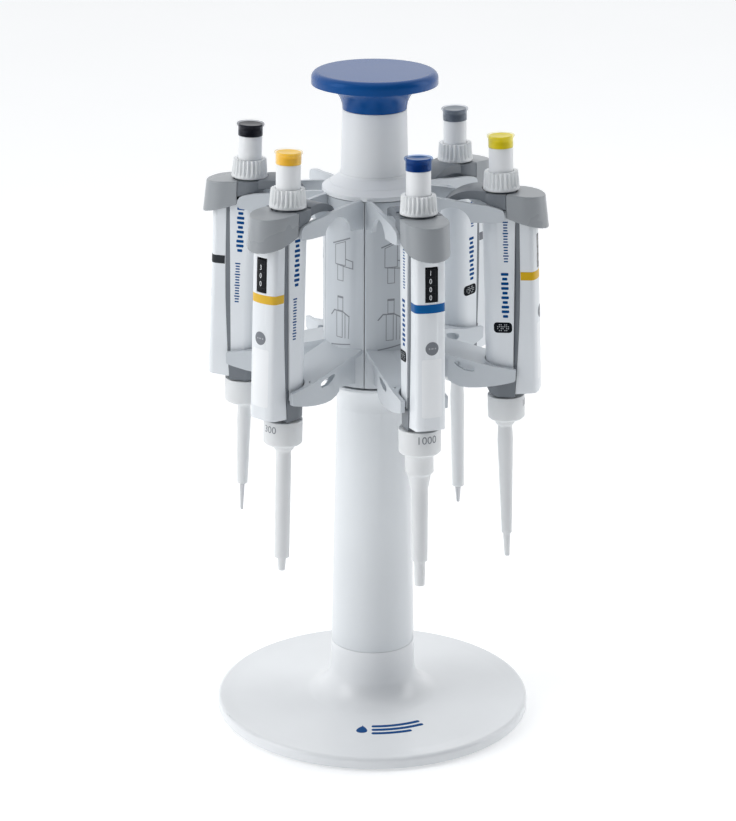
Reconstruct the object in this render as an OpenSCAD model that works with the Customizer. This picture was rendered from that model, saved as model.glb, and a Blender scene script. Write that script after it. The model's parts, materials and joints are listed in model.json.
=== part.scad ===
// Rotary stand with six holders and five adjustable pipettes.
// Millimetres, +Z up, origin on the stand axis in the plane the feet stand on.

/* [Stand] */
// radius of the round foot
base_radius = 100; // [80:1:120]
// height of the outer edge of the foot
base_edge = 8.8; // [6:0.2:14]
// outer radius of the column where it meets the foot
column_radius = 26.5; // [20:0.5:32]
// outer radius of the column under the turning hub
column_top_radius = 23.2; // [18:0.2:28]
// height of the top of the column flare
column_top = 223.6; // [180:0.2:260]
// outer radius of the turning hub
hub_radius = 31.3; // [28:0.1:36]
// height of the top of the hub panels
hub_top = 342.2; // [300:0.2:380]
// outer radius of the flat turning knob
knob_radius = 38.2; // [30:0.2:46]
// height of the top of the knob
stand_height = 416; // [380:1:440]
// height where the knob meets the white sleeve
knob_bottom = 393.2; // [370:0.2:405]

/* [Holders] */
// angle of the first holder from the front, seen from above
first_angle = 19.5; // [0:0.5:60]
// thickness of the holder prongs and walls
prong = 2.6; // [2:0.1:4]
// gap between a pipette and the holder on each side
side_gap = 1.8; // [1.4:0.1:2.4]

/* [Pipettes] */
// distance from the stand axis to the push button
pipette_radius = 76.7; // [70:0.1:90]
// height of the top of the push button
button_height = 380.5; // [350:0.5:400]
// outward lean of the hanging pipette in degrees
lean = 2; // [0:0.1:5]
// half width of the back of the handle
handle_half = 10.5; // [10:0.1:11]
// half width of the front of the handle
front_half = 9.3; // [9:0.1:9.8]
// distance from the pipette axis to the front of the handle
handle_front = 21.9; // [21.5:0.1:23]
// distance from the pipette axis to the back of the handle
handle_back = 11.8; // [11.4:0.1:12.4]
// wall of the handle covers
cover_wall = 1.6; // [1:0.1:2.5]
// radius of the push button stem
stem_radius = 7.3; // [6:0.1:8]
// radius of the push button top
button_radius = 8.5; // [7.5:0.1:10]
// radius of the volume setting ring
ring_radius = 10.9; // [10:0.1:12]

/* [Hidden] */
$fn = 64;
// per pipette: holder step, collar radius, neck radius, neck end, tube top radius,
// tube end radius, tube end, cone top radius, cone end radius, tip depth, piston radius
P1000 = [0,    12.7, 8.6, 193, 5.3, 4.8, 248,   3.5,  3.1, 263.9, 1.9];
P300  = [-60,  11.8, 6.2, 184, 4.7, 4.55, 252.3, 2.7, 2.1, 260.9, 1.3];
P100  = [60,   11.45, 6.0, 184, 4.9, 3.2, 255.3, 2.3, 1.6, 270.8, 0.9];
P10   = [120,  11.45, 5.6, 182, 4.6, 3.9, 254.5, 1.95, 1.0, 266, 0.6];
P2    = [-120, 11.45, 5.6, 182, 4.4, 3.3, 234.5, 1.5, 0.8, 252.7, 0.5];
back_c = handle_half - handle_back;
seam_o = 4.6;

// ---------------------------------------------------------------- placing
module at_pipette(p) {
  rotate([0, 0, first_angle + p[0] - 90])
    translate([pipette_radius, 0, button_height])
      rotate([0, -lean, 0]) children();
}
module at_holder(a) {
  rotate([0, 0, first_angle + a - 90]) children();
}
// side profile in (outward, up) pushed out to a width either side
module slab(half) {
  rotate([90, 0, 0]) translate([0, 0, -half]) linear_extrude(2 * half) children();
}

// ---------------------------------------------------------------- pipette
// plan of the hood over the handle front
module hood_plan(r, back) {
  translate([12.6, 0]) circle(r);
  translate([back, -r]) square([12.6 - back, 2 * r]);
}
// plan of the handle front: flat sides, rounded corners, a slow curve across the nose
module front_plan(d, back) {
  k = (front_half - 3.2) / 15.5;
  cx = handle_front - 18.7 + 15.5 * sqrt(1 - k * k);
  translate([back, -front_half + d]) square([cx - back, 2 * (front_half - d)]);
  for (s = [-1, 1]) translate([cx, s * (front_half - 3.2)]) circle(3.2 - d);
  intersection() {
    translate([handle_front - 18.7, 0]) circle(18.7 - d, $fn = 128);
    translate([cx - 4, -(18.7 - d) * k]) square([20, 2 * (18.7 - d) * k]);
  }
}
module back_plan(r, front) {
  translate([back_c, 0]) circle(r);
  translate([back_c, -r]) square([front - back_c, 2 * r]);
}

module g_front_cover(p) {
  intersection() {
    translate([0, 0, -60]) rotate([0, -0.45, 0]) translate([0, 0, 60]) difference() {
      translate([0, 0, -170]) linear_extrude(130) front_plan(0, 4);
      translate([0, 0, -171]) linear_extrude(132) front_plan(cover_wall, 3);
      // opening over the number drums
      translate([handle_front - 6, -4, -81.6]) cube([12, 8, 21.2]);
      // flat finger rest low on the front
      translate([handle_front - 0.6, -8, -160.5]) cube([12, 16, 44.5]);
    }
    slab(20) polygon([[11.9, -47.5], [30, -47.5], [30, -157.4], [20.5, -159.6], [7.9, -160.6],
                      [8.9, -150], [10.2, -130], [11.3, -110], [11.8, -90]]);
  }
}

module g_rear_cover(p) {
  intersection() {
    translate([0, 0, -45]) rotate([0, -0.39, 0]) translate([0, 0, 45]) difference() {
      translate([0, 0, -170]) linear_extrude(130) back_plan(handle_half, 12);
      translate([0, 0, -171]) linear_extrude(132) back_plan(handle_half - cover_wall, 13);
    }
    slab(20) polygon([[-16, -44.5], [3.9, -44.5], [4.3, -46.4], [9.6, -46.4], [6.95, -149], [-8, -147], [-16, -143]]);
  }
}

// inner handle: rails between the covers, head, finger hook, closed ends
module g_housing(p) {
  difference() {
    union() {
      // core tube
      difference() {
        translate([0, 0, -158]) linear_extrude(114) {
          translate([12.8, 0]) circle(7.2);
          translate([-0.8, 0]) circle(8.2);
          translate([-0.8, -7.2]) square([13.6, 14.4]);
          translate([-0.8, -8.2]) square([7.2, 16.4]);
        }
        translate([4.3, -13, -46.6]) cube([30, 26, 10]);
      }
      // rails that show between the covers
      for (s = [-1, 1]) translate([0, s * 8.2, 0]) slab(1.4)
        polygon([[9.65, -46.7], [11.78, -46.7], [11.68, -90], [11.18, -110], [10.08, -130], [8.78, -150], [7.78, -160.5], [6.92, -160.5]]);
      // lower end, stepped in where the rear cover slides over it
      difference() {
        intersection() {
          translate([0, 0, -162.6]) linear_extrude(20.4) back_plan(handle_half - 0.5, 12);
          slab(20) polygon([[8.78, -150], [9.3, -142.4], [-16, -142.4], [-16, -150], [-10.6, -157.5], [-7.5, -161.3], [-3, -162.6], [7.6, -162.6], [7.78, -160.6]]);
        }
        difference() {
          slab(20) polygon([[-16, -44], [9.64, -44], [7.05, -149.2], [-8, -147.2], [-16, -143.2]]);
          translate([0.8, 0, -170]) linear_extrude(40) back_plan(handle_half - cover_wall - 0.3, 12);
        }
      }
      // neck under the setting ring
      translate([0, 0, -47]) cylinder(r = 8.9, h = 13.2);
      // shoulders that sit on the holder prongs
      intersection() {
        translate([0, 0, -46]) linear_extrude(14) {
          translate([-0.9, 0]) circle(13.2);
          translate([-0.9, -13.2]) square([seam_o + 0.65, 26.4]);
        }
        slab(20) polygon([[-14.2, -34], [-10, -33.8], [seam_o - 0.25, -34.3], [seam_o - 0.25, -43.4],
                          [-6.1, -40.3], [-14.2, -38.4]]);
      }
      // bearings of the drum shaft
      for (z = [-88, -59.9]) translate([12.4, -5, z]) cube([6, 10, 3.3]);
      // finger hook
      intersection() {
        rotate([90, 0, 0]) translate([0, 0, -15]) linear_extrude(30) difference() {
          translate([-15, -59.8]) circle(r = 27.5, $fn = 128);
          translate([-17, -71.5]) circle(r = 34, $fn = 128);
          translate([-8, -90]) square([60, 80]);
          translate([-60, -95]) square([120, 53.4]);
        }
        translate([0, 0, -60]) linear_extrude(40) {
          polygon([[-6, -11.2], [-6, 11.2], [-27, 9.4], [-27, -9.4]]);
          translate([-27, 0]) circle(9.4);
        }
      }
    }
    // seat of the setting ring
    translate([0, 0, -33.6]) cylinder(r = ring_radius + 0.8, h = 12);
    // room for the stem, the drums, the ejector rod and the piston rod
    translate([0, 0, -60]) cylinder(r = stem_radius + 0.07, h = 30);
    translate([0, 0, -154]) linear_extrude(100) {
      translate([-0.8, 0]) circle(6.9);
      translate([-0.8, -6]) square([7.8, 12]);
    }
    translate([9.5, 0, -170]) cylinder(r = 1.5, h = 140, $fn = 32);
    translate([8.5, -1.2, -56]) cube([6, 2.4, 30]);
    translate([0, 0, -170]) cylinder(r = p[10] + 2.2, h = 30);
    // front opening of the core over the drums
    translate([10.2, -5.9, -84.6]) cube([20, 11.8, 24.6]);
    translate([15.4, 0, -90]) cylinder(r = 1.36, h = 40, $fn = 32);
  }
}

module g_volume_ring(p) {
  difference() {
    union() {
      translate([0, 0, -33.2]) cylinder(r = ring_radius + 0.2, h = 1.2);
      translate([0, 0, -32.4]) cylinder(r1 = ring_radius + 0.2, r2 = ring_radius - 0.7, h = 9.6);
      translate([0, 0, -22.9]) cylinder(r1 = ring_radius - 0.7, r2 = ring_radius - 1.3, h = 0.9);
    }
    translate([0, 0, -40]) cylinder(r = stem_radius + 0.3, h = 30);
    for (a = [0:15:359]) rotate([0, 0, a + 7.5])
      translate([ring_radius + 0.3, 0, -31.3]) cylinder(r = 1.05, h = 12, $fn = 24);
  }
}

module g_plunger(p) {
  difference() {
    union() {
      translate([0, 0, -41]) cylinder(r = stem_radius, h = 33.4);
      translate([0, 0, -143]) cylinder(r = 2.2, h = 103, $fn = 40);
      translate([0, 0, -p[6] + 18]) cylinder(r = p[10], h = p[6] - 160, $fn = 40);
    }
    translate([0, 0, -16]) cylinder(r = 4, h = 20, $fn = 40);
  }
}

// push button top with its coloured insert
module g_button_cap(p) {
  rotate_extrude($fn = 96) {
    difference() {
      translate([0, -2.4]) square([button_radius, 2.4]);
      translate([button_radius - 0.8, -0.8]) difference() { square(2); circle(0.8, $fn = 32); }
      translate([0, 29.2]) circle(r = 29.6, $fn = 256);
    }
    translate([0, -7.5]) square([6.9, 5.5]);
    translate([0, -14]) square([3.8, 7]);
  }
}

// number drums on their shaft
module g_counter(p) {
  for (i = [0:3]) translate([15.4, 0, -65.4 - 5.2 * i]) cylinder(r = 4.1, h = 4.8);
  translate([15.4, 0, -87.6]) cylinder(r = 1.3, h = 30.4, $fn = 32);
}

// hood over the handle front, with the rod that pushes the ejector sleeve
module g_ejector_button(p) {
  difference() {
    intersection() {
      translate([0, 0, -36]) rotate([0, -5.5, 0]) translate([0, 0, 36]) difference() {
        translate([0.4, 0, -60]) linear_extrude(27) hood_plan(13.4, -4);
        translate([0.4, 0, -62]) linear_extrude(21.8) hood_plan(12.1, -5);
      }
      slab(20) polygon([[seam_o, -34.3], [12, -34.7], [22, -35.9], [30, -37.4], [32, -57.5], [27.7, -56.4], [12, -51.4], [seam_o, -48.6]]);
    }
    translate([0, 0, -50]) cylinder(r = 9.7, h = 30);
  }
  // arm and rod down to the sleeve
  translate([9.5, 0, -163.3]) cylinder(r = 1.25, h = 125, $fn = 32);
  translate([9.5, -1.25, -41]) cube([13, 2.5, 3.2]);
}

module g_ejector_sleeve(p) {
  c = p[1];
  difference() {
    union() {
      translate([0.9, 0, -177.6]) cylinder(r = c, h = 14.2, $fn = 96);
      translate([0.9, 0, -179]) cylinder(r1 = c - 1.6, r2 = c, h = 1.4, $fn = 96);
      translate([0, 0, -p[3] + 2]) cylinder(r = p[2], h = p[3] - 180.5);
      translate([0, 0, -p[3]]) cylinder(r1 = p[2] - 1.6, r2 = p[2], h = 2);
      translate([0, 0, -p[3] - 9]) cylinder(r1 = p[4], r2 = p[2] - 1.6, h = 9);
      translate([0, 0, -p[6]]) cylinder(r1 = p[5], r2 = p[4], h = p[6] - p[3] - 9);
    }
    translate([0.9, 0, -176.4]) cylinder(r = c - 1.4, h = 11.8);
    translate([0, 0, -166]) cylinder(r = 6.2, h = 10);
    translate([0, 0, -p[3] + 1]) cylinder(r = max(p[4] - 0.9, p[7] + 0.25), h = p[3] - 160);
    translate([0, 0, -p[6] - 1]) cylinder(r = p[7] + 0.25, h = 120);
  }
}

module g_tip_cone(p) {
  difference() {
    union() {
      translate([0, 0, -p[6] - 1]) cylinder(r = p[7], h = p[6] - 159);
      translate([0, 0, -p[9]]) cylinder(r1 = p[8], r2 = p[7], h = p[9] - p[6] - 0.8);
      translate([0, 0, -171.4]) cylinder(r = 5.2, h = 4.4);
    }
    translate([0, 0, -p[6] + 2.6]) cylinder(r = p[10] + 0.06, h = p[6] - 138.6, $fn = 40);
    translate([0, 0, -p[9] - 1]) cylinder(r = min(0.8, p[8] * 0.5), h = p[9], $fn = 32);
  }
}

// ---------------------------------------------------------------- holder
module prong_side() {
  difference() {
    polygon([[24, 344], [36.5, 343.6], [47, 342.7], [61, 340.7], [72, 339.7], [78.6, 338.2], [80.8, 337.2],
             [81.9, 335.6], [82.3, 333.6], [82.2, 331.4], [80.8, 330.1], [74, 329.3], [62.2, 329], [24, 325.8]]);
    translate([50.4, 326.3]) circle(11.6);
    translate([38.8, 310]) square([23.2, 16.3]);
  }
}
module holder(a) {
  inner = handle_half + side_gap;
  outer = inner + prong;
  at_holder(a) intersection() {
   translate([0, 0, 200]) linear_extrude(200) polygon([[0.5, 0], [100.5, 57.735], [100.5, -57.735]]);
   difference() {
    union() {
      // hub panel
      translate([0, 0, 225.2]) cylinder(r = hub_radius, h = hub_top - 225.2, $fn = 128);
      // upper prongs
      for (s = [-1, 1]) translate([0, s * (inner + prong / 2), 0]) slab(prong / 2) prong_side();
      // lower arm: sloped deck, walls, back of the cradle
      difference() {
        slab(outer) polygon([[24, 251], [71.6, 240], [71.6, 237.4], [24, 248.4]]);
        translate([82, 0, 200]) cylinder(r = inner + 0.05, h = 80);
      }
      for (s = [-1, 1]) {
        difference() {
          translate([0, s * (inner + prong / 2), 0]) slab(prong / 2)
            polygon([[49, 245.2], [58, 243.1], [70, 240.3], [78, 238.9], [90.2, 237.6], [90.8, 236.9], [90.6, 230.6],
                     [90, 229.9], [86, 228.6], [78, 226.6], [70, 225.2], [62, 224.6], [56.5, 225.1], [52, 226.9], [49, 229.2]]);
          // tapered slot in the wall
          translate([63.8, s * (inner - 1), 236.9]) rotate([-90 * s, 0, 0]) cylinder(r = 1.95, h = prong + 3);
          translate([0, s * (inner + 1), 0]) slab(prong) polygon([[53.2, 241.2], [57.7, 241], [64.4, 238.75],
            [63.6, 234.98], [59.7, 235.3], [54.8, 238], [53, 240]]);
        }
        // web back to the hub
        translate([0, s * 9.2, 0]) slab(1.2) polygon([[24, 249], [51.6, 242.6], [51.6, 229.5], [24, 227.5]]);
        translate([49, s > 0 ? 8 : -outer, 229.4]) cube([2.6, outer - 8, 14.2]);
      }
      difference() {
        intersection() {
          translate([82, 0, 225.2]) cylinder(r = outer, h = 17, $fn = 96);
          slab(30) polygon([[60, 242.4], [71.6, 240], [82.4, 238.4], [82.4, 227.6], [70, 225.4], [60, 225.4]]);
        }
        translate([82, 0, 200]) cylinder(r = inner, h = 80, $fn = 96);
        translate([82, -inner, 200]) cube([40, 2 * inner, 80]);
      }
    }
    cylinder(r = hub_radius - 2.4, h = 400, $fn = 128);
    translate([0, 0, hub_top]) cylinder(r = hub_radius + 0.8, h = 20, $fn = 128);
   }
  }
}

// ---------------------------------------------------------------- stand
module foot_profile() {
  difference() {
    union() {
      translate([0, 1.2]) square([base_radius, base_edge - 1.2]);
      // low crown of the foot
      intersection() {
        translate([0, base_edge - 0.01]) square([base_radius - 3, 5]);
        translate([0, base_edge + 2.2 - 1800]) circle(r = 1800, $fn = 720);
      }
      // skirt that sweeps up into the column
      difference() {
        polygon([[0, base_edge], [46, base_edge], [46, 29.2], [27, 29.2], [26.6, 46.4], [0, 46.4]]);
        translate([46, 29.2]) circle(r = 19, $fn = 160);
      }
    }
    translate([base_radius - 2.4, base_edge - 2.4]) difference() { square(4); circle(2.4, $fn = 48); }
    translate([base_radius - 1, 1.2]) rotate(-45) square([3, 1.2]);
    // underside pocket for the weight
    translate([-1, 0]) square([base_radius - 5, 5.6]);
    // shaft seat up the middle
    translate([-1, 0]) square([9, 60]);
    translate([-1, 0]) square([21, 40]);
    translate([0, 40.2]) square([23.5, 12]);
  }
}

module base_plate() { color([0.93, 0.94, 0.95]) rotate_extrude($fn = 256) foot_profile(); }

module base_weight() {
  color([0.35, 0.36, 0.37]) difference() {
    translate([0, 0, 1.4]) cylinder(r = base_radius - 6, h = 4, $fn = 192);
    translate([0, 0, 0]) cylinder(r = 20.4, h = 10);
    for (a = [0:60:359]) rotate([0, 0, a]) translate([86, 0, -1]) cylinder(r = 6.3, h = 10, $fn = 48);
  }
}

module rubber_feet() {
  color([0.12, 0.12, 0.13]) cylinder(r = 13, h = 5.8, $fn = 64);
  color([0.12, 0.12, 0.13]) for (a = [0:60:359]) rotate([0, 0, a]) translate([86, 0, 0]) {
    cylinder(r = 6, h = 5.6, $fn = 48);
  }
}

module column() {
  color([0.95, 0.96, 0.96]) difference() {
    union() {
      translate([0, 0, 46.6]) cylinder(r1 = column_radius, r2 = column_top_radius, h = 161.4, $fn = 160);
      translate([0, 0, 40.3]) cylinder(r = 23.3, h = 7, $fn = 96);
      // flare under the hub
      rotate_extrude($fn = 160) difference() {
        translate([10, 206]) square([20.6, column_top - 206]);
        translate([40.8, 207.4]) circle(r = 17.6, $fn = 128);
      }
    }
    translate([0, 0, 30]) cylinder(r = 20.2, h = column_top - 36.8, $fn = 96);
    translate([0, 0, 30]) cylinder(r = 8.06, h = 220);
    translate([0, 0, column_top - 3.2]) cylinder(r = 18.3, h = 10, $fn = 96);
  }
}

module spindle() {
  color([0.72, 0.73, 0.75]) {
    translate([0, 0, 6]) cylinder(r = 8, h = 340, $fn = 64);
    translate([0, 0, 6]) cylinder(r = 19.6, h = 3, $fn = 64);
    translate([0, 0, 346]) cylinder(r1 = 8, r2 = 6.6, h = 1.4, $fn = 64);
  }
}

// two rings and a set of balls
module thrust_bearing() {
  color([0.6, 0.61, 0.63]) {
    difference() {
      translate([0, 0, column_top - 3.2]) cylinder(r = 18.2, h = 1.5, $fn = 96);
      translate([0, 0, column_top - 9]) cylinder(r = 8.1, h = 20);
    }
    for (i = [0:11]) rotate([0, 0, 30 * i]) translate([13.4, 0, column_top - 0.1]) sphere(r = 1.55, $fn = 32);
    difference() {
      translate([0, 0, column_top + 1.5]) cylinder(r = 18.2, h = 1.5, $fn = 96);
      translate([0, 0, column_top - 9]) cylinder(r = 8.1, h = 20);
    }
  }
}

module hub_core() {
  color([0.8, 0.81, 0.82]) difference() {
    translate([0, 0, column_top + 3.05]) cylinder(r = hub_radius - 2.5, h = hub_top - column_top - 3.2, $fn = 128);
    difference() {
      translate([0, 0, column_top + 7]) cylinder(r = hub_radius - 5, h = hub_top - column_top - 10.2, $fn = 128);
      translate([0, 0, 200]) cylinder(r = 11.2, h = 200);
    }
    translate([0, 0, 200]) cylinder(r = 8.08, h = 200);
  }
}

module holders() {
  color([0.9, 0.91, 0.92]) for (i = [0:5]) holder(60 * i);
}

module upper_sleeve() {
  color([0.94, 0.95, 0.95]) difference() {
    union() {
      translate([0, 0, 342.8]) cylinder(r = hub_radius + 0.6, h = 3, $fn = 160);
      translate([0, 0, 345.7]) cylinder(r1 = hub_radius + 0.2, r2 = 20.9, h = 7.4, $fn = 160);
      translate([0, 0, 350]) cylinder(r = 20.9, h = 4.6, $fn = 128);
      translate([0, 0, 354.5]) cylinder(r1 = 20.6, r2 = 19.5, h = knob_bottom - 354.7, $fn = 128);
    }
    translate([0, 0, 345.6]) cylinder(r = 17.6, h = 60, $fn = 96);
    translate([0, 0, 330]) cylinder(r = 8.4, h = 60);
    // groove round the collar
    translate([0, 0, 348.4]) difference() {
      cylinder(r = 40, h = 0.4, $fn = 128);
      translate([0, 0, -1]) cylinder(r = 27.1, h = 3, $fn = 128);
    }
  }
}

// cap and neck of the turning knob, with the stub that drops into the sleeve
module knob() {
  color([0.1, 0.3, 0.6]) {
    rotate_extrude($fn = 200) difference() {
      translate([0, 408.4]) square([knob_radius, stand_height - 408.4]);
      translate([knob_radius - 4, stand_height - 4]) difference() { square(6); circle(4, $fn = 64); }
      translate([0, 408]) square([30, 4]);
    }
    rotate_extrude($fn = 200) {
      difference() {
        translate([0, knob_bottom]) square([knob_radius - 1.2, 407.9 - knob_bottom]);
        translate([knob_radius - 3, knob_bottom - 0.2]) circle(r = 15.7, $fn = 128);
        translate([0, 396]) square([17, 20]);
      }
      translate([0, 407.4]) square([29.6, 4.4]);
      difference() {
        translate([13, 372]) square([4.4, 24]);
        translate([-1, 360]) square([15, 34]);
      }
    }
  }
}

// ---------------------------------------------------------------- p1000
module p1000_housing() { color([0.38,0.41,0.43]) at_pipette(P1000) g_housing(P1000); }
module p1000_front_cover() { color([0.88,0.89,0.91]) at_pipette(P1000) g_front_cover(P1000); }
module p1000_rear_cover() { color([0.85,0.86,0.88]) at_pipette(P1000) g_rear_cover(P1000); }
module p1000_ejector_button() { color([0.45,0.47,0.49]) at_pipette(P1000) g_ejector_button(P1000); }
module p1000_ejector_sleeve() { color([0.92,0.93,0.94]) at_pipette(P1000) g_ejector_sleeve(P1000); }
module p1000_plunger() { color([0.94,0.94,0.94]) at_pipette(P1000) g_plunger(P1000); }
module p1000_button_cap() { color([0.05,0.2,0.5]) at_pipette(P1000) g_button_cap(P1000); }
module p1000_volume_ring() { color([0.9,0.92,0.92]) at_pipette(P1000) g_volume_ring(P1000); }
module p1000_counter() { color([0.06,0.06,0.07]) at_pipette(P1000) g_counter(P1000); }
module p1000_tip_cone() { color([0.93,0.94,0.94]) at_pipette(P1000) g_tip_cone(P1000); }

// ---------------------------------------------------------------- p300
module p300_housing() { color([0.38,0.41,0.43]) at_pipette(P300) g_housing(P300); }
module p300_front_cover() { color([0.88,0.89,0.91]) at_pipette(P300) g_front_cover(P300); }
module p300_rear_cover() { color([0.85,0.86,0.88]) at_pipette(P300) g_rear_cover(P300); }
module p300_ejector_button() { color([0.45,0.47,0.49]) at_pipette(P300) g_ejector_button(P300); }
module p300_ejector_sleeve() { color([0.92,0.93,0.94]) at_pipette(P300) g_ejector_sleeve(P300); }
module p300_plunger() { color([0.94,0.94,0.94]) at_pipette(P300) g_plunger(P300); }
module p300_button_cap() { color([0.9,0.45,0.1]) at_pipette(P300) g_button_cap(P300); }
module p300_volume_ring() { color([0.9,0.92,0.92]) at_pipette(P300) g_volume_ring(P300); }
module p300_counter() { color([0.06,0.06,0.07]) at_pipette(P300) g_counter(P300); }
module p300_tip_cone() { color([0.93,0.94,0.94]) at_pipette(P300) g_tip_cone(P300); }

// ---------------------------------------------------------------- p100
module p100_housing() { color([0.38,0.41,0.43]) at_pipette(P100) g_housing(P100); }
module p100_front_cover() { color([0.88,0.89,0.91]) at_pipette(P100) g_front_cover(P100); }
module p100_rear_cover() { color([0.85,0.86,0.88]) at_pipette(P100) g_rear_cover(P100); }
module p100_ejector_button() { color([0.45,0.47,0.49]) at_pipette(P100) g_ejector_button(P100); }
module p100_ejector_sleeve() { color([0.92,0.93,0.94]) at_pipette(P100) g_ejector_sleeve(P100); }
module p100_plunger() { color([0.94,0.94,0.94]) at_pipette(P100) g_plunger(P100); }
module p100_button_cap() { color([0.95,0.8,0.1]) at_pipette(P100) g_button_cap(P100); }
module p100_volume_ring() { color([0.9,0.92,0.92]) at_pipette(P100) g_volume_ring(P100); }
module p100_counter() { color([0.06,0.06,0.07]) at_pipette(P100) g_counter(P100); }
module p100_tip_cone() { color([0.93,0.94,0.94]) at_pipette(P100) g_tip_cone(P100); }

// ---------------------------------------------------------------- p10
module p10_housing() { color([0.38,0.41,0.43]) at_pipette(P10) g_housing(P10); }
module p10_front_cover() { color([0.88,0.89,0.91]) at_pipette(P10) g_front_cover(P10); }
module p10_rear_cover() { color([0.85,0.86,0.88]) at_pipette(P10) g_rear_cover(P10); }
module p10_ejector_button() { color([0.45,0.47,0.49]) at_pipette(P10) g_ejector_button(P10); }
module p10_ejector_sleeve() { color([0.92,0.93,0.94]) at_pipette(P10) g_ejector_sleeve(P10); }
module p10_plunger() { color([0.94,0.94,0.94]) at_pipette(P10) g_plunger(P10); }
module p10_button_cap() { color([0.55,0.57,0.58]) at_pipette(P10) g_button_cap(P10); }
module p10_volume_ring() { color([0.9,0.92,0.92]) at_pipette(P10) g_volume_ring(P10); }
module p10_counter() { color([0.06,0.06,0.07]) at_pipette(P10) g_counter(P10); }
module p10_tip_cone() { color([0.5,0.52,0.54]) at_pipette(P10) g_tip_cone(P10); }

// ---------------------------------------------------------------- p2_5
module p2_5_housing() { color([0.38,0.41,0.43]) at_pipette(P2) g_housing(P2); }
module p2_5_front_cover() { color([0.88,0.89,0.91]) at_pipette(P2) g_front_cover(P2); }
module p2_5_rear_cover() { color([0.85,0.86,0.88]) at_pipette(P2) g_rear_cover(P2); }
module p2_5_ejector_button() { color([0.45,0.47,0.49]) at_pipette(P2) g_ejector_button(P2); }
module p2_5_ejector_sleeve() { color([0.92,0.93,0.94]) at_pipette(P2) g_ejector_sleeve(P2); }
module p2_5_plunger() { color([0.94,0.94,0.94]) at_pipette(P2) g_plunger(P2); }
module p2_5_button_cap() { color([0.08,0.08,0.09]) at_pipette(P2) g_button_cap(P2); }
module p2_5_volume_ring() { color([0.9,0.92,0.92]) at_pipette(P2) g_volume_ring(P2); }
module p2_5_counter() { color([0.06,0.06,0.07]) at_pipette(P2) g_counter(P2); }
module p2_5_tip_cone() { color([0.7,0.71,0.72]) at_pipette(P2) g_tip_cone(P2); }

base_plate();
base_weight();
rubber_feet();
column();
spindle();
thrust_bearing();
hub_core();
holders();
upper_sleeve();
knob();
p1000_housing();
p1000_front_cover();
p1000_rear_cover();
p1000_ejector_button();
p1000_ejector_sleeve();
p1000_plunger();
p1000_button_cap();
p1000_volume_ring();
p1000_counter();
p1000_tip_cone();
p300_housing();
p300_front_cover();
p300_rear_cover();
p300_ejector_button();
p300_ejector_sleeve();
p300_plunger();
p300_button_cap();
p300_volume_ring();
p300_counter();
p300_tip_cone();
p100_housing();
p100_front_cover();
p100_rear_cover();
p100_ejector_button();
p100_ejector_sleeve();
p100_plunger();
p100_button_cap();
p100_volume_ring();
p100_counter();
p100_tip_cone();
p10_housing();
p10_front_cover();
p10_rear_cover();
p10_ejector_button();
p10_ejector_sleeve();
p10_plunger();
p10_button_cap();
p10_volume_ring();
p10_counter();
p10_tip_cone();
p2_5_housing();
p2_5_front_cover();
p2_5_rear_cover();
p2_5_ejector_button();
p2_5_ejector_sleeve();
p2_5_plunger();
p2_5_button_cap();
p2_5_volume_ring();
p2_5_counter();
p2_5_tip_cone();
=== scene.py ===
import bpy, bmesh, json, math
from mathutils import Vector, Matrix


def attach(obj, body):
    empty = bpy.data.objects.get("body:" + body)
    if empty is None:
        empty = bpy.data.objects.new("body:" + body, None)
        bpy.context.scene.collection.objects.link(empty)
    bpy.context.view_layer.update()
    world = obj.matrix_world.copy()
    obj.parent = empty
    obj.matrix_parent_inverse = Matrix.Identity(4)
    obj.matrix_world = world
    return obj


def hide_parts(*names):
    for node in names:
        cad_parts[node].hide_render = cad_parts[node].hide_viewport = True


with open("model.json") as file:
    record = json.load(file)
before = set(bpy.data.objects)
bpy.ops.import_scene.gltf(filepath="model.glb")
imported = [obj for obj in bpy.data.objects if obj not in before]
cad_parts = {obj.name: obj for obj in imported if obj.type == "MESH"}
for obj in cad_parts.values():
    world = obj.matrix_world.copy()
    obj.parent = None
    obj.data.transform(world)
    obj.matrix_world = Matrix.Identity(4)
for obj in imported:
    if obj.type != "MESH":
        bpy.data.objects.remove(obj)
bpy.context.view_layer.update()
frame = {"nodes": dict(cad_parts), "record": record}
NODES = frame["nodes"]
MM = 0.001
D = bpy.data
SC = bpy.context.scene

# ------------------------------------------------------------------ frames
TH0, RP, ZP, LEAN = 19.5, 76.7, 380.5, math.radians(2.0)
PIP = {"p1000": 0, "p300": -60, "p100": 60, "p10": 120, "p2_5": -120}


def pip_matrix(k):
    th = math.radians(TH0 + PIP[k])
    rad = Vector((math.sin(th), -math.cos(th), 0))
    x = rad * math.cos(LEAN) + Vector((0, 0, math.sin(LEAN)))
    z = -rad * math.sin(LEAN) + Vector((0, 0, math.cos(LEAN)))
    y = Vector((math.cos(th), math.sin(th), 0))
    o = rad * RP + Vector((0, 0, ZP))
    m = Matrix(((x.x, y.x, z.x, o.x), (x.y, y.y, z.y, o.y), (x.z, y.z, z.z, o.z), (0, 0, 0, 1)))
    return m


def holder_matrix(a):
    return Matrix.Rotation(math.radians(TH0 + a - 90), 4, "Z")


# ------------------------------------------------------------------ materials
def new_mat(name):
    m = D.materials.new(name)
    m.use_nodes = True
    nt = m.node_tree
    nt.nodes.clear()
    out = nt.nodes.new("ShaderNodeOutputMaterial")
    b = nt.nodes.new("ShaderNodeBsdfPrincipled")
    nt.links.new(b.outputs[0], out.inputs[0])
    return m, nt, b


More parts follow.
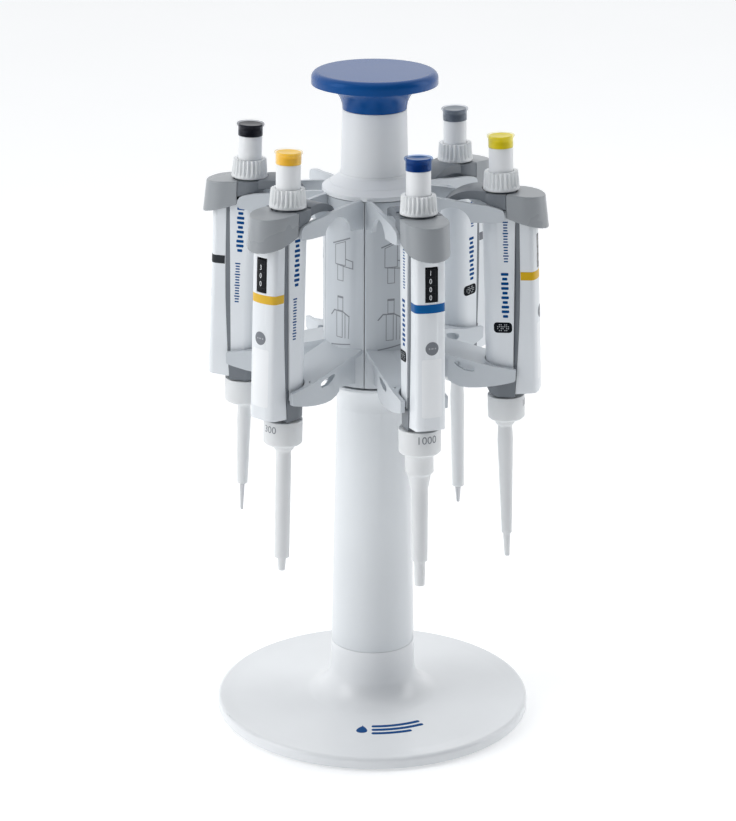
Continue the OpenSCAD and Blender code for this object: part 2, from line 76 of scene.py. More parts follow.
def plastic(name, col, rough=0.42, var=0.05, bump=0.012, scale=900.0, coat=0.0, sss=0.0, spec=0.5, tone=0.03, tint=None):
    """Moulded plastic: fine spark texture, slow roughness drift and a faint tone drift."""
    m, nt, b = new_mat(name)
    N, L = nt.nodes, nt.links
    tc = N.new("ShaderNodeTexCoord")
    fine = N.new("ShaderNodeTexNoise")
    fine.inputs["Scale"].default_value = scale
    fine.inputs["Detail"].default_value = 3
    slow = N.new("ShaderNodeTexNoise")
    slow.inputs["Scale"].default_value = 14
    slow.inputs["Detail"].default_value = 4
    L.new(tc.outputs["Object"], fine.inputs["Vector"])
    L.new(tc.outputs["Object"], slow.inputs["Vector"])
    r = N.new("ShaderNodeMapRange")
    r.inputs["To Min"].default_value = rough - var
    r.inputs["To Max"].default_value = rough + var
    L.new(slow.outputs[0], r.inputs["Value"])
    L.new(r.outputs[0], b.inputs["Roughness"])
    cr = N.new("ShaderNodeValToRGB")
    c0 = [max(0, c * (1 - tone)) for c in col]
    c1 = [min(1, c * (1 + tone)) for c in col]
    cr.color_ramp.interpolation = "EASE"
    cr.color_ramp.elements[0].position = 0.2
    cr.color_ramp.elements[0].color = (*c0, 1)
    cr.color_ramp.elements[1].position = 0.8
    cr.color_ramp.elements[1].color = (*c1, 1)
    L.new(slow.outputs[0], cr.inputs[0])
    L.new(cr.outputs[0], b.inputs["Base Color"])
    bp = N.new("ShaderNodeBump")
    bp.inputs["Strength"].default_value = 0.25
    bp.inputs["Distance"].default_value = bump * MM
    L.new(fine.outputs[0], bp.inputs["Height"])
    L.new(bp.outputs[0], b.inputs["Normal"])
    b.inputs["Specular IOR Level"].default_value = spec
    if tint:
        b.inputs["Specular Tint"].default_value = (*tint, 1)
    if coat:
        b.inputs["Coat Weight"].default_value = coat
        b.inputs["Coat Roughness"].default_value = 0.12
    if sss:
        b.inputs["Subsurface Weight"].default_value = sss
        b.inputs["Subsurface Scale"].default_value = 0.004
        b.inputs["Subsurface Radius"].default_value = (1, 0.95, 0.9)
    return m


def metal(name, col, rough=0.28, streak=(900, 900, 14)):
    m, nt, b = new_mat(name)
    N, L = nt.nodes, nt.links
    tc = N.new("ShaderNodeTexCoord")
    mp = N.new("ShaderNodeMapping")
    mp.inputs["Scale"].default_value = streak
    nz = N.new("ShaderNodeTexNoise")
    nz.inputs["Scale"].default_value = 1.0
    nz.inputs["Detail"].default_value = 5
    L.new(tc.outputs["Object"], mp.inputs["Vector"])
    L.new(mp.outputs[0], nz.inputs["Vector"])
    r = N.new("ShaderNodeMapRange")
    r.inputs["To Min"].default_value = rough - 0.1
    r.inputs["To Max"].default_value = rough + 0.12
    L.new(nz.outputs[0], r.inputs["Value"])
    L.new(r.outputs[0], b.inputs["Roughness"])
    cr = N.new("ShaderNodeValToRGB")
    cr.color_ramp.elements[0].color = (*[c * 0.86 for c in col], 1)
    cr.color_ramp.elements[1].color = (*col, 1)
    L.new(nz.outputs[0], cr.inputs[0])
    L.new(cr.outputs[0], b.inputs["Base Color"])
    b.inputs["Metallic"].default_value = 1.0
    return m


def clear(name, col=(0.97, 0.98, 0.98), skin=(0.6, 0.62, 0.64), rough=0.08):
    """Thin clear shell: passes light straight through, glossy at the edges."""
    m, nt, b = new_mat(name)
    N, L = nt.nodes, nt.links
    out = [n for n in N if n.type == "OUTPUT_MATERIAL"][0]
    tc = N.new("ShaderNodeTexCoord")
    nz = N.new("ShaderNodeTexNoise")
    nz.inputs["Scale"].default_value = 120
    L.new(tc.outputs["Object"], nz.inputs["Vector"])
    r = N.new("ShaderNodeMapRange")
    r.inputs["To Min"].default_value = rough * 0.6
    r.inputs["To Max"].default_value = rough * 1.6
    L.new(nz.outputs[0], r.inputs["Value"])
    L.new(r.outputs[0], b.inputs["Roughness"])
    b.inputs["Base Color"].default_value = (*skin, 1)
    tr = N.new("ShaderNodeBsdfTransparent")
    tr.inputs["Color"].default_value = (*col, 1)
    lw = N.new("ShaderNodeLayerWeight")
    lw.inputs["Blend"].default_value = 0.16
    mx = N.new("ShaderNodeMixShader")
    L.new(lw.outputs["Facing"], mx.inputs[0])
    L.new(tr.outputs[0], mx.inputs[1])
    L.new(b.outputs[0], mx.inputs[2])
    L.new(mx.outputs[0], out.inputs[0])
    return m


M = {
    "foot_white": plastic("foot_white", (0.83, 0.85, 0.87), 0.32, coat=0.4, spec=0.5),
    "column_white": plastic("column_white", (0.77, 0.80, 0.825), 0.30, coat=0.3, spec=0.5),
    "weight_iron": plastic("weight_iron", (0.09, 0.09, 0.1), 0.6, bump=0.12, scale=420),
    "pad_rubber": plastic("pad_rubber", (0.03, 0.03, 0.032), 0.78, bump=0.04),
    "shaft_steel": metal("shaft_steel", (0.62, 0.63, 0.65)),
    "hub_plastic": plastic("hub_plastic", (0.50, 0.52, 0.55), 0.5),
    "holder_white": plastic("holder_white", (0.57, 0.605, 0.64), 0.34, spec=0.5),
    "sleeve_white": plastic("sleeve_white", (0.82, 0.845, 0.87), 0.38),
    "knob_blue": plastic("knob_blue", (0.005, 0.066, 0.25), 0.26, coat=0.08, spec=0.5, tone=0.05, tint=(0.05, 0.22, 0.6)),
    "handle_grey": plastic("handle_grey", (0.175, 0.193, 0.215), 0.40, spec=0.35),
    "cover_white": plastic("cover_white", (0.80, 0.83, 0.86), 0.38),
    "hood_grey": plastic("hood_grey", (0.31, 0.33, 0.35), 0.28, spec=0.5),
    "ring_white": plastic("ring_white", (0.82, 0.84, 0.85), 0.38, sss=0.15),
    "stem_white": plastic("stem_white", (0.83, 0.845, 0.86), 0.32),
    "drum_black": plastic("drum_black", (0.012, 0.012, 0.014), 0.5),
    "cone_white": plastic("cone_white", (0.76, 0.775, 0.785), 0.4, sss=0.15),
    "cone_steel": metal("cone_steel", (0.55, 0.56, 0.58), 0.3),
    "button_blue": plastic("button_blue", (0.005, 0.07, 0.235), 0.2, spec=0.4, tone=0.06, tint=(0.03, 0.2, 0.6)),
    "button_orange": plastic("button_orange", (1.0, 0.60, 0.05), 0.24, spec=0.4, tone=0.03, tint=(0.9, 0.6, 0.1)),
    "button_yellow": plastic("button_yellow", (0.80, 0.66, 0.01), 0.24, spec=0.4, tone=0.05, tint=(0.9, 0.8, 0.1)),
    "button_grey": plastic("button_grey", (0.19, 0.22, 0.26), 0.28, spec=0.4),
    "button_black": plastic("button_black", (0.018, 0.021, 0.03), 0.26, spec=0.35, tint=(0.4, 0.4, 0.45)),
}
M["print_blue"] = plastic("print_blue", (0.005, 0.068, 0.24), 0.5, spec=0.2, tone=0.08, tint=(0.02, 0.2, 0.5))
M["print_grey"] = plastic("print_grey", (0.26, 0.275, 0.30), 0.5, spec=0.2, tone=0.08)
M["print_dark"] = plastic("print_dark", (0.006, 0.008, 0.011), 0.5, spec=0.15, tone=0.08, tint=(0.3, 0.3, 0.3))
M["print_white"] = plastic("print_white", (0.82, 0.84, 0.86), 0.45)
M["pane_black"] = plastic("pane_black", (0.003, 0.0035, 0.005), 0.2, spec=0.3, bump=0.004, tint=(0.35, 0.37, 0.4))
M["label_pale"] = plastic("label_pale", (0.88, 0.90, 0.92), 0.3, spec=0.5)
M["print_line"] = plastic("print_line", (0.03, 0.032, 0.036), 0.4, spec=0.15)
M["print_pale"] = plastic("print_pale", (0.42, 0.44, 0.46), 0.5, spec=0.2)
M["badge_grey"] = plastic("badge_grey", (0.20, 0.215, 0.24), 0.4, spec=0.25)
M["clear_blue"] = clear("clear_blue", (0.72, 0.80, 0.93), (0.10, 0.2, 0.42))
M["clear_orange"] = clear("clear_orange", (1.0, 0.995, 0.95), (1.0, 0.78, 0.4))
M["clear_yellow"] = clear("clear_yellow", (1.0, 1.0, 0.93), (0.95, 0.88, 0.3))
M["clear_grey"] = clear("clear_grey", (0.92, 0.93, 0.95), (0.35, 0.38, 0.42))
M["clear_black"] = clear("clear_black", (0.78, 0.79, 0.81), (0.12, 0.12, 0.14))
M["band_blue"] = plastic("band_blue", (0.008, 0.10, 0.31), 0.34, spec=0.4, tone=0.06, tint=(0.02, 0.2, 0.5))
M["band_orange"] = plastic("band_orange", (0.74, 0.46, 0.05), 0.36, spec=0.4, tone=0.04, tint=(0.9, 0.6, 0.1))
M["band_yellow"] = plastic("band_yellow", (0.68, 0.42, 0.02), 0.36, spec=0.4, tone=0.06, tint=(0.9, 0.6, 0.1))
M["band_grey"] = plastic("band_grey", (0.19, 0.2, 0.225), 0.38, spec=0.25)
M["band_black"] = plastic("band_black", (0.035, 0.04, 0.045), 0.38, spec=0.2, tint=(0.4, 0.4, 0.4))

slot_of = {s["node"]: s.get("material_slot") for s in frame["record"]["subparts"]}
for n, o in NODES.items():
    o.data.materials.clear()
    o.data.materials.append(M[slot_of[n]])

# hoods: moulded round edges
for q in ("1000", "300", "100", "10", "2_5"):
    o = NODES["p%s_ejector_button" % q]
    m1 = o.modifiers.new("weld", "WELD")
    m1.merge_threshold = 1e-6
    m2 = o.modifiers.new("skin", "REMESH")
    m2.mode = "VOXEL"
    m2.voxel_size = 0.34 * MM
    m2.use_smooth_shade = True
    m3 = o.modifiers.new("rounding", "SMOOTH")
    m3.factor = 0.5
    m3.iterations = 9
for n, w in (("p%s_housing", 0.5), ("p%s_front_cover", 0.25), ("p%s_rear_cover", 0.25),
             ("p%s_ejector_sleeve", 0.25), ("p%s_plunger", 0.2), ("p%s_tip_cone", 0.12)):
    for q in ("1000", "300", "100", "10", "2_5"):
        o = NODES[n % q]
        m1 = o.modifiers.new("weld", "WELD")
        m1.merge_threshold = 1e-6
        m2 = o.modifiers.new("edges", "BEVEL")
        m2.width = w * MM
        m2.segments = 3
        m2.limit_method = "ANGLE"
        m2.angle_limit = math.radians(40)
        m2.use_clamp_overlap = True
        m2.harden_normals = True
for n, w in (("holders", 0.45), ("knob", 0.5), ("base_plate", 0.5), ("upper_sleeve", 0.3), ("column", 0.3)):
    o = NODES[n]
    m1 = o.modifiers.new("weld", "WELD")
    m1.merge_threshold = 1e-6
    m2 = o.modifiers.new("edges", "BEVEL")
    m2.width = w * MM
    m2.segments = 3
    m2.limit_method = "ANGLE"
    m2.angle_limit = math.radians(40)
    m2.use_clamp_overlap = True
    m2.harden_normals = True

# ------------------------------------------------------------------ mesh code
ALL = []


def mesh_obj(name, verts, faces, mat, matrix=None, smooth=35.0, bevel=0.0, seg=2):
    me = D.meshes.new(name)
    if matrix is not None:
        verts = [matrix @ Vector(v) for v in verts]
    me.from_pydata([tuple(Vector(v) * MM) for v in verts], [], faces)
    me.validate()
    bm = bmesh.new()
    bm.from_mesh(me)
    bmesh.ops.remove_doubles(bm, verts=bm.verts, dist=1e-7)
    bmesh.ops.recalc_face_normals(bm, faces=bm.faces)
    for f in bm.faces:
        f.smooth = True
    bm.to_mesh(me)
    bm.free()
    o = D.objects.new(name, me)
    SC.collection.objects.link(o)
    me.materials.append(M[mat])
    if bevel:
        md = o.modifiers.new("soft_edges", "BEVEL")
        md.width = bevel * MM
        md.segments = seg
        md.limit_method = "ANGLE"
        md.angle_limit = math.radians(30)
        md.harden_normals = False
    me.set_sharp_from_angle(angle=math.radians(smooth))
    ALL.append(o)
    return o


def lathe(name, prof, mat, matrix=None, seg=96, close=True, **kw):
    vs, fs = [], []
    n = len(prof)
    for i in range(seg):
        a = 2 * math.pi * i / seg
        for r, z in prof:
            vs.append((r * math.cos(a), r * math.sin(a), z))
    m = n if close else n - 1
    for i in range(seg):
        j = (i + 1) % seg
        for p in range(m):
            q = (p + 1) % n
            fs.append((i * n + p, j * n + p, j * n + q, i * n + q))
    return mesh_obj(name, vs, fs, mat, matrix, **kw)


def extrude_poly(poly, z0, z1):
    """closed prism over a 2D polygon (any shape), as (verts, faces)"""
    n = len(poly)
    vs = [(x, y, z0) for x, y in poly] + [(x, y, z1) for x, y in poly]
    fs = [tuple(range(n - 1, -1, -1)), tuple(range(n, 2 * n))]
    for i in range(n):
        j = (i + 1) % n
        fs.append((i, j, n + j, n + i))
    return vs, fs


def tri_split(vs, fs, step):
    """refines a mesh so that it can be bent"""
    me = D.meshes.new("tmp")
    me.from_pydata([tuple(v) for v in vs], [], fs)
    bm = bmesh.new()
    bm.from_mesh(me)
    bmesh.ops.triangulate(bm, faces=bm.faces)
    for _ in range(6):
        es = [e for e in bm.edges if e.calc_length() > step]
        if not es:
            break
        bmesh.ops.subdivide_edges(bm, edges=es, cuts=1)
        bmesh.ops.triangulate(bm, faces=[f for f in bm.faces if len(f.verts) > 3])
    bm.verts.index_update()
    out = [tuple(v.co) for v in bm.verts], [tuple(v.index for v in f.verts) for f in bm.faces]
    bm.free()
    D.meshes.remove(me)
    return out


def text_shape(s, size, align="CENTER"):
    """flat outline of digits or signs as (verts, faces) in its own plane"""
    cu = D.curves.new("t", "FONT")
    cu.body = s
    cu.size = size
    cu.align_x = align
    cu.align_y = "CENTER"
    cu.extrude = 0.03
    cu.resolution_u = 4
    ob = D.objects.new("t", cu)
    SC.collection.objects.link(ob)
    bpy.context.view_layer.update()
    dg = bpy.context.evaluated_depsgraph_get()
    me = D.meshes.new_from_object(ob.evaluated_get(dg))
    vs = [tuple(v.co) for v in me.vertices]
    fs = [tuple(p.vertices) for p in me.polygons]
    D.objects.remove(ob)
    D.curves.remove(cu)
    D.meshes.remove(me)
    return vs, fs


def join(parts):
    vs, fs = [], []
    for v, f in parts:
        b = len(vs)
        vs += list(v)
        fs += [tuple(i + b for i in q) for q in f]
    return vs, fs


def rect(cx, cy, w, h, z0=0.0, z1=0.06, r=0.0):
    if r <= 0:
        p = [(cx - w / 2, cy - h / 2), (cx + w / 2, cy - h / 2), (cx + w / 2, cy + h / 2), (cx - w / 2, cy + h / 2)]
    else:
        p = []
        for sx, sy, a0 in ((1, 1, 0), (-1, 1, 90), (-1, -1, 180), (1, -1, 270)):
            for i in range(7):
                a = math.radians(a0 + 15 * i)
                p.append((cx + sx * (w / 2 - r) + r * math.cos(a), cy + sy * (h / 2 - r) + r * math.sin(a)))
    return extrude_poly(p, z0, z1)


def stroke(pts, wd, z0=0.0, z1=0.06):
    """a line of given width through points"""
    parts = []
    for (x0, y0), (x1, y1) in zip(pts, pts[1:]):
        dx, dy = x1 - x0, y1 - y0
        l = math.hypot(dx, dy)
        if l < 1e-6:
            continue
        nx, ny = -dy / l * wd / 2, dx / l * wd / 2
        ex, ey = dx / l * wd * 0.35, dy / l * wd * 0.35
        parts.append(extrude_poly([(x0 - ex + nx, y0 - ey + ny), (x0 - ex - nx, y0 - ey - ny),
                                   (x1 + ex - nx, y1 + ey - ny), (x1 + ex + nx, y1 + ey + ny)], z0, z1))
    return join(parts)


def wrap(shape, fn, step=1.0):
    vs, fs = tri_split(*shape, step)
    return [fn(*v) for v in vs], fs


# front cover surface: flat sides, corners of 3.2 mm, a nose arc of 18.7 mm
HF, FH, RN, RC = 21.9, 9.3, 18.7, 3.2
KS = (FH - RC) / (RN - RC)
PHC = math.asin(KS)
CXF = HF - RN + (RN - RC) * math.cos(PHC)
L1 = RN * PHC
L2 = RC * (math.pi / 2 - PHC)
TF, TR = math.radians(-0.45), math.radians(-0.39)
RH, BC = 10.5, -1.3


def on_front(u, s, h):
    """u: arc length from the nose line, s: height (negative down), h above the surface"""
    e = abs(u)
    if e <= L1:
        a = e / RN
        x, y = HF - RN + (RN + h) * math.cos(a), (RN + h) * math.sin(a)
    elif e <= L1 + L2:
        a = PHC + (e - L1) / RC
        x, y = CXF + (RC + h) * math.cos(a), FH - RC + (RC + h) * math.sin(a)
    else:
        x, y = CXF - (e - L1 - L2), FH + h
    y = math.copysign(y, u)
    dz = -s + 60
    return (x * math.cos(TF) + dz * math.sin(TF), y, -60 - x * math.sin(TF) + dz * math.cos(TF))


def on_rear(side, o, s, h):
    """side +-1: flat flank of the rear cover; o: outward coordinate"""
    dz = -s + 45
    if o >= BC:
        x, y = o, side * (RH + h)
    else:
        a = (BC - o) / RH
        x, y = BC - (RH + h) * math.sin(a), side * (RH + h) * math.cos(a)
    return (x * math.cos(TR) + dz * math.sin(TR), y, -45 - x * math.sin(TR) + dz * math.cos(TR))


# ------------------------------------------------------------------ pipette details
BTN = {"p1000": "blue", "p300": "orange", "p100": "yellow", "p10": "grey", "p2_5": "black"}
NUM = {"p1000": "1000", "p300": "300", "p100": "100", "p10": "10", "p2_5": "2.5"}
DRUM = {"p1000": "1000", "p300": "300", "p100": "100", "p10": "100", "p2_5": "250"}
COL_R = {"p1000": 12.7, "p300": 11.8, "p100": 11.45, "p10": 11.45, "p2_5": 11.45}

for k in PIP:
    mk = pip_matrix(k)
    H, PL, E, CN = k + "_handle", k + "_plunger_body", k + "_ejector", k + "_counter_body"
    # black pane over the drums
    sh = rect(0, -71.5, 7.7, 19.7, -0.9, -0.2, r=0.4)
    o = mesh_obj(k + "_window_pane", *wrap(sh, lambda u, s, h: on_front(u, -s, h), 1.2), "pane_black", mk, smooth=60)
    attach(o, H)
    # white digits, one on each drum, with fine lines where the drums meet
    ds = DRUM[k]
    n = len(ds)
    parts = []
    for i, ch in enumerate(ds):
        v, f = text_shape(ch, 4.3)
        parts.append(([(x * 0.8 - 0.7, y - 71.5 + 4.9 * ((n - 1) / 2 - i), z - 0.17) for x, y, z in v], f))
    o = mesh_obj(k + "_window_digits", *wrap(join(parts), lambda u, s, h: on_front(u, -s, h), 1.5), "print_white", mk, smooth=60)
    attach(o, H)
    parts = []
    for i in range(n + 1):
        parts.append(rect(-0.2, -71.5 + 4.9 * (n / 2 - i), 5.6, 0.16, -0.2, -0.17))
    parts.append(rect(2.3, -71.5, 0.14, 18.4, -0.2, -0.17))
    o = mesh_obj(k + "_window_lines", *wrap(join(parts), lambda u, s, h: on_front(u, -s, h), 1.5), "print_line", mk, smooth=60)
    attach(o, H)
    # colour band right round the front cover
    half = L1 + L2 + CXF - 11.98
    sh = rect(0, -85.35, 2 * half, 5.2, -0.3, 0.07)
    o = mesh_obj(k + "_colour_band", *wrap(sh, lambda u, s, h: on_front(u, -s, h), 1.2), "band_" + BTN[k], mk, smooth=60)
    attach(o, H)
    # round badge with three fine dashes
    disc = [(4.05 * math.cos(2 * math.pi * i / 48), -109.3 + 4.05 * math.sin(2 * math.pi * i / 48)) for i in range(48)]
    o = mesh_obj(k + "_badge", *wrap(extrude_poly(disc, -0.3, 0.1), lambda u, s, h: on_front(u, -s, h), 1.0), "badge_grey", mk, smooth=50)
    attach(o, H)
    parts = [rect(-1.7, -109.3, 1.0, 1.0, 0.0, 0.14, r=0.45), rect(0.1, -109.3, 1.5, 0.8, 0.0, 0.14, r=0.35), rect(2.0, -109.3, 1.0, 1.0, 0.0, 0.14, r=0.45)]
    o = mesh_obj(k + "_badge_marks", *wrap(join(parts), lambda u, s, h: on_front(u, -s, h), 0.8), "print_pale", mk, smooth=50)
    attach(o, H)
    # pale writing panel below the badge
    o = mesh_obj(k + "_write_on_panel", *wrap(rect(0, -133.6, 12.6, 35.5, -0.3, 0.05, r=1.2), lambda u, s, h: on_front(u, -s, h), 1.2),
                 "label_pale", mk, smooth=50)
    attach(o, H)
    # printed scale on both flanks of the rear cover: bold blocks and a fine row of dashes
    for side in (1, -1):
        parts = []
        b0, f0 = (50.5, 86.0) if side > 0 else (82.8, 50.8)
        for i in range(10):
            wd = (4.6, 3.2, 4.6, 4.6, 3.2)[i % 5]
            parts.append(rect(2.4, -(b0 + 1.2 + 2.95 * i), wd, 1.75, -0.05, 0.05, r=0.5))
        for i in range(15):
            parts.append(rect(3.4, -(f0 + 0.7 + 1.75 * i), 2.6 if i % 4 else 3.4, 0.85, -0.05, 0.05, r=0.25))
        o = mesh_obj(k + ("_marks_l" if side < 0 else "_marks_r"), *wrap(join(parts), lambda x, y, h, sd=side: on_rear(sd, x, -y, h), 2.5), "print_blue", mk, smooth=50)
        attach(o, H)
    # dark capsule label on one flank
    sh = rect(0.6, -117.7, 11.4, 6.6, -0.05, 0.07, r=2.2)
    o = mesh_obj(k + "_flank_label", *wrap(sh, lambda x, y, h: on_rear(-1, x, -y, h), 1.5), "print_dark", mk, smooth=50)
    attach(o, H)
    parts = []
    for r in range(4):
        for c in range(7):
            if (r * 7 + c * 5 + r * c) % 3:
                parts.append(rect(-2.6 + 1.1 * c, -115.9 - 1.2 * r, 0.6, 0.6, 0.06, 0.1))
    o = mesh_obj(k + "_flank_dots", *wrap(join(parts), lambda x, y, h: on_rear(-1, x, -y, h), 3), "print_pale", mk, smooth=50)
    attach(o, H)
    # number on the collar
    v, f = text_shape(NUM[k], 6.6 if k == "p1000" else 6.2)
    R = COL_R[k]
    o = mesh_obj(k + "_collar_number", *wrap((v, f), lambda u, y, h, R=R: (0.9 + (R + 0.02 + h) * math.cos(u / R), (R + 0.02 + h) * math.sin(u / R), y - 168.2), 1.5), "print_grey", mk, smooth=50)
    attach(o, E)
    # push button: clear flanged cup with a coloured insert
    o = lathe(k + "_clear_cup", [(8.5, -1.0), (8.5, -0.5), (8.25, -0.05), (7.9, 0.0), (7.6, -0.35), (7.35, -0.75), (7.35, -7.3),
                                 (7.5, -7.6), (7.62, -7.3), (7.62, -2.3), (7.9, -1.75), (8.3, -1.45)], "clear_" + BTN[k], mk, smooth=40)
    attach(o, PL)
    o = lathe(k + "_button_insert", [(0.0, -0.95), (3.0, -0.85), (5.6, -0.55), (6.9, -0.45), (7.25, -0.75), (7.25, -3.0), (7.1, -3.2),
                                     (7.1, -3.6), (7.25, -3.8), (7.25, -7.4), (7.0, -7.58), (3.8, -7.58), (3.8, -13.9), (0.0, -13.9)],
              "button_" + BTN[k], mk, close=False, smooth=40)
    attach(o, PL)
    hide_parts(k + "_button_cap")
    # fluted setting ring
    NS, prof = 288, [(-22.05, 9.75), (-22.0, 9.9), (-22.15, 10.1), (-22.6, 10.25), (-23.4, 10.33), (-25.0, 10.45), (-27.0, 10.6), (-29.0, 10.75),
                     (-30.2, 10.84), (-31.0, 10.9), (-31.7, 10.96), (-32.1, 11.02), (-32.6, 11.08), (-33.0, 11.1), (-33.2, 10.95)]
    inner = [(-33.2, 7.62), (-26.0, 7.62), (-23.4, 7.62), (-22.1, 7.72), (-22.0, 7.95)]
    vs, fs = [], []
    rows = prof + inner
    for z, r in rows:
        for i in range(NS):
            a = 2 * math.pi * i / NS
            d = 0.0
            if r > 9 and z > -31.9:
                c = 0.5 + 0.5 * math.cos(24 * a)
                t = min(1.0, (z + 31.9) / 3.2)
                width = 0.25 + 0.75 * t
                c = max(0.0, (c - (1 - width)) / width) if width < 1 else c
                d = 1.3 * c ** 1.1 * min(1.0, t * 1.5)
            rr = r - d
            vs.append((rr * math.cos(a), rr * math.sin(a), z))
    for j in range(len(rows)):
        j2 = (j + 1) % len(rows)
        for i in range(NS):
            i2 = (i + 1) % NS
            fs.append((j * NS + i, j * NS + i2, j2 * NS + i2, j2 * NS + i))
    o = mesh_obj(k + "_fluted_ring", vs, fs, "ring_white", mk, smooth=45)
    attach(o, k + "_ring")
    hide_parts(k + "_volume_ring")

# ------------------------------------------------------------------ stand details
# generic mark on the foot: a drop and three bars
def foot_top(r):
    return 8.8 + 2.2 - r * r / 3600.0


parts = []
drop = []
for i in range(32):
    t = 2 * math.pi * i / 32
    drop.append((-17 + 3.2 * math.sin(t) * (1 - 0.4 * math.cos(t)), 4.3 * math.cos(t) + (1.4 if i == 0 else 0)))
parts.append(extrude_poly(drop, -0.15, 0.08))
for i, wd in enumerate((34, 34, 24)):
    parts.append(rect(-11 + wd / 2, 4.6 - 4.6 * i, wd, 2.7, -0.15, 0.08, r=1.2))


def on_foot(x, y, h):
    a = math.radians(9) + (x + 1) / 62.0
    r = 62.0 - y
    return (r * math.sin(a), -r * math.cos(a), foot_top(r) + h)


o = mesh_obj("foot_mark", *wrap(join(parts), on_foot, 1.5), "print_blue", None, smooth=50)
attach(o, "stand")

# line pictures on the hub panels
HR = 31.3


def on_hub(a0):
    def f(x, y, h):
        a = math.radians(a0) + x / HR
        return ((HR + h) * math.sin(a), -(HR + h) * math.cos(a), y)
    return f


def picture(z):
    w = 0.42
    ps = []
    # body of a little pipette seen from the side, leaning
    ps.append(stroke([(-4, z + 20), (-4, z + 8), (4, z + 8), (4, z + 23), (-4, z + 20)], w))
    ps.append(stroke([(-6, z + 20.5), (7, z + 25.5)], 0.8))
    ps.append(stroke([(-2.2, z + 8), (-2.2, z - 2), (2.2, z - 2), (2.2, z + 8)], w))
    ps.append(stroke([(4, z + 12), (9, z + 11), (9, z + 6.5), (-4, z + 8)], 0.6))
    # second one below: button, stem, grip
    ps.append(stroke([(-2, z - 12), (2, z - 12), (2, z - 21), (-2, z - 21), (-2, z - 12)], w))
    ps.append(stroke([(-2, z - 12.6), (2, z - 12.6)], 1.0))
    ps.append(stroke([(-8, z - 25), (-5, z - 21.5), (2, z - 21.5), (6.5, z - 24)], 0.8))
    ps.append(stroke([(-3, z - 22), (-3, z - 38), (1.5, z - 38), (1.5, z - 22)], w))
    ps.append(stroke([(3.6, z - 23), (3.6, z - 38)], w))
    ps.append(stroke([(6.5, z - 24), (6.0, z - 38)], w))
    for i in range(3):
        ps.append(stroke([(-8, z - 44 - 5.2 * i), (7 - 2 * i, z - 41.5 - 5.2 * i)], 0.7))
    return join(ps)


for i in range(6):
    a0 = TH0 + 60 * i
    o = mesh_obj("panel_picture_%d" % (i + 1), *wrap(picture(294), on_hub(a0), 2.0), "print_grey", None, smooth=50)
    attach(o, "carousel")

# ------------------------------------------------------------------ camera, floor, light
CX, CD, CZ = 4.12, 1567.5, 745.6
pitch, yaw, roll = math.radians(19.1805), math.radians(-0.2757), math.radians(0.1879)
F = 2653.54
fwd = Vector((math.sin(yaw) * math.cos(pitch), math.cos(yaw) * math.cos(pitch), -math.sin(pitch)))
right = Vector((math.cos(yaw), -math.sin(yaw), 0))
up = right.cross(fwd)
r2 = right * math.cos(roll) + up * math.sin(roll)
u2 = -right * math.sin(roll) + up * math.cos(roll)
cam_d = D.cameras.new("camera")
cam = D.objects.new("camera", cam_d)
SC.collection.objects.link(cam)
cam.matrix_world = Matrix(((r2.x, u2.x, -fwd.x, CX * MM), (r2.y, u2.y, -fwd.y, -CD * MM),
                           (r2.z, u2.z, -fwd.z, CZ * MM), (0, 0, 0, 1)))
cam_d.sensor_width = 36.0
cam_d.lens = F * 36.0 / 821.0
cam_d.clip_start = 0.05
cam_d.clip_end = 60
SC.camera = cam

# floor: a large pale sheet with a fine paper grain
fm, fnt, fb = new_mat("floor_paper")
tc = fnt.nodes.new("ShaderNodeTexCoord")
nz = fnt.nodes.new("ShaderNodeTexNoise")
nz.inputs["Scale"].default_value = 6.0
nz.inputs["Detail"].default_value = 6.0
cr = fnt.nodes.new("ShaderNodeValToRGB")
cr.color_ramp.elements[0].color = (0.90, 0.905, 0.91, 1)
cr.color_ramp.elements[1].color = (0.93, 0.935, 0.94, 1)
fnt.links.new(tc.outputs["Object"], nz.inputs["Vector"])
fnt.links.new(nz.outputs[0], cr.inputs[0])
fnt.links.new(cr.outputs[0], fb.inputs["Base Color"])
fb.inputs["Roughness"].default_value = 0.85
fb.inputs["Emission Color"].default_value = (1, 1, 1, 1)
fb.inputs["Emission Strength"].default_value = 0.29
fb.inputs["Specular IOR Level"].default_value = 0.2
M["floor"] = fm
vs, fs = [], []
NR, NA = 24, 96
for i in range(NR + 1):
    r = 9.0 * (i / NR) ** 1.6
    for j in range(NA):
        a = 2 * math.pi * j / NA
        vs.append((r * math.cos(a) / MM, r * math.sin(a) / MM, 0.0))
for i in range(NR):
    for j in range(NA):
        j2 = (j + 1) % NA
        fs.append((i * NA + j, i * NA + j2, (i + 1) * NA + j2, (i + 1) * NA + j))
floor = mesh_obj("floor", vs, fs, "floor")
floor.location.z = -0.0002

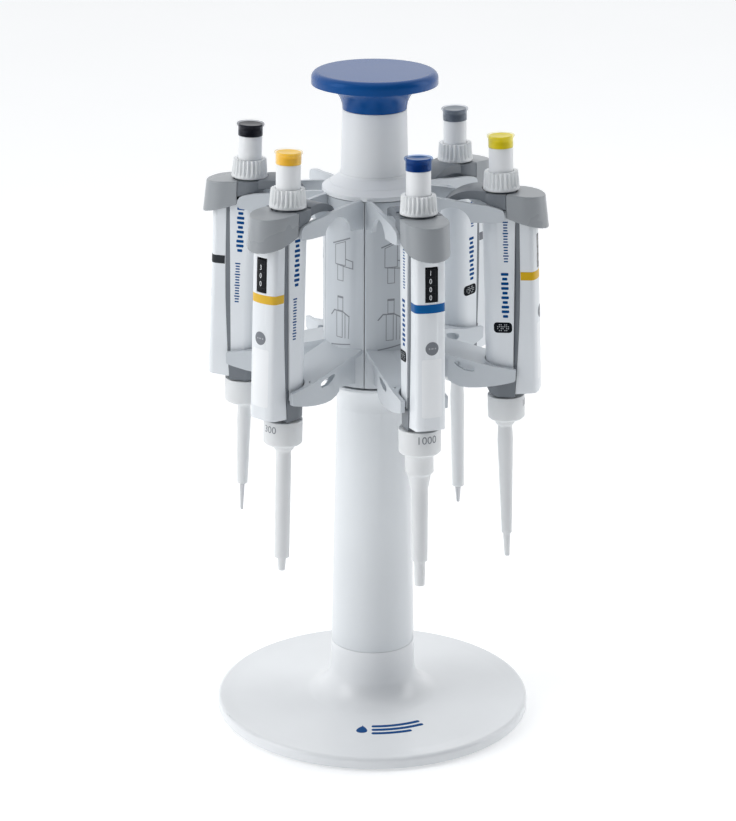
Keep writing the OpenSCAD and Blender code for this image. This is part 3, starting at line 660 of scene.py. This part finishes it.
# soft studio light
w = D.worlds.new("studio")
SC.world = w
w.use_nodes = True
wn = w.node_tree
wn.nodes.clear()
wo = wn.nodes.new("ShaderNodeOutputWorld")
bg = wn.nodes.new("ShaderNodeBackground")
wn.links.new(bg.outputs[0], wo.inputs[0])
tc = wn.nodes.new("ShaderNodeTexCoord")
sp = wn.nodes.new("ShaderNodeSeparateXYZ")
sky = wn.nodes.new("ShaderNodeValToRGB")
sky.color_ramp.interpolation = "EASE"
sky.color_ramp.elements[0].position = 0.1
sky.color_ramp.elements[0].color = (0.03, 0.04, 0.055, 1)
sky.color_ramp.elements[1].position = 0.66
sky.color_ramp.elements[1].color = (0.98, 0.99, 1.0, 1)
mr = wn.nodes.new("ShaderNodeMapRange")
mr.inputs["From Min"].default_value = -1.0
mr.inputs["From Max"].default_value = 1.0
wn.links.new(sp.outputs["Y"], mr.inputs["Value"])
mp = wn.nodes.new("ShaderNodeMapping")
mp.inputs["Rotation"].default_value = (0, 0, math.radians(-30))
wn.links.new(tc.outputs["Generated"], mp.inputs["Vector"])
wn.links.new(mp.outputs[0], sp.inputs[0])
wn.links.new(mr.outputs[0], sky.inputs[0])
wn.links.new(sky.outputs[0], bg.inputs["Color"])
bg.inputs["Strength"].default_value = 1.0


def area(name, loc, tgt, size, energy, col=(1, 1, 1), sy=None):
    l = D.lights.new(name, "AREA")
    l.shape = "RECTANGLE"
    l.size = size
    l.size_y = sy or size
    l.energy = energy
    l.color = col
    o = D.objects.new(name, l)
    SC.collection.objects.link(o)
    o.location = loc
    d = Vector(tgt) - Vector(loc)
    o.rotation_euler = d.to_track_quat("-Z", "Y").to_euler()
    return o


area("key_left", (-1.6, -0.55, 1.0), (0, 0, 0.24), 0.9, 9, sy=1.6)
area("key_right", (1.7, 0.25, 0.9), (0, 0, 0.22), 0.8, 7.5, sy=1.6)
area("top_soft", (0, -0.3, 2.2), (0, 0, 0.2), 1.4, 5)

SC.view_settings.view_transform = "Standard"
SC.view_settings.look = "None"
SC.view_settings.exposure = 0.0
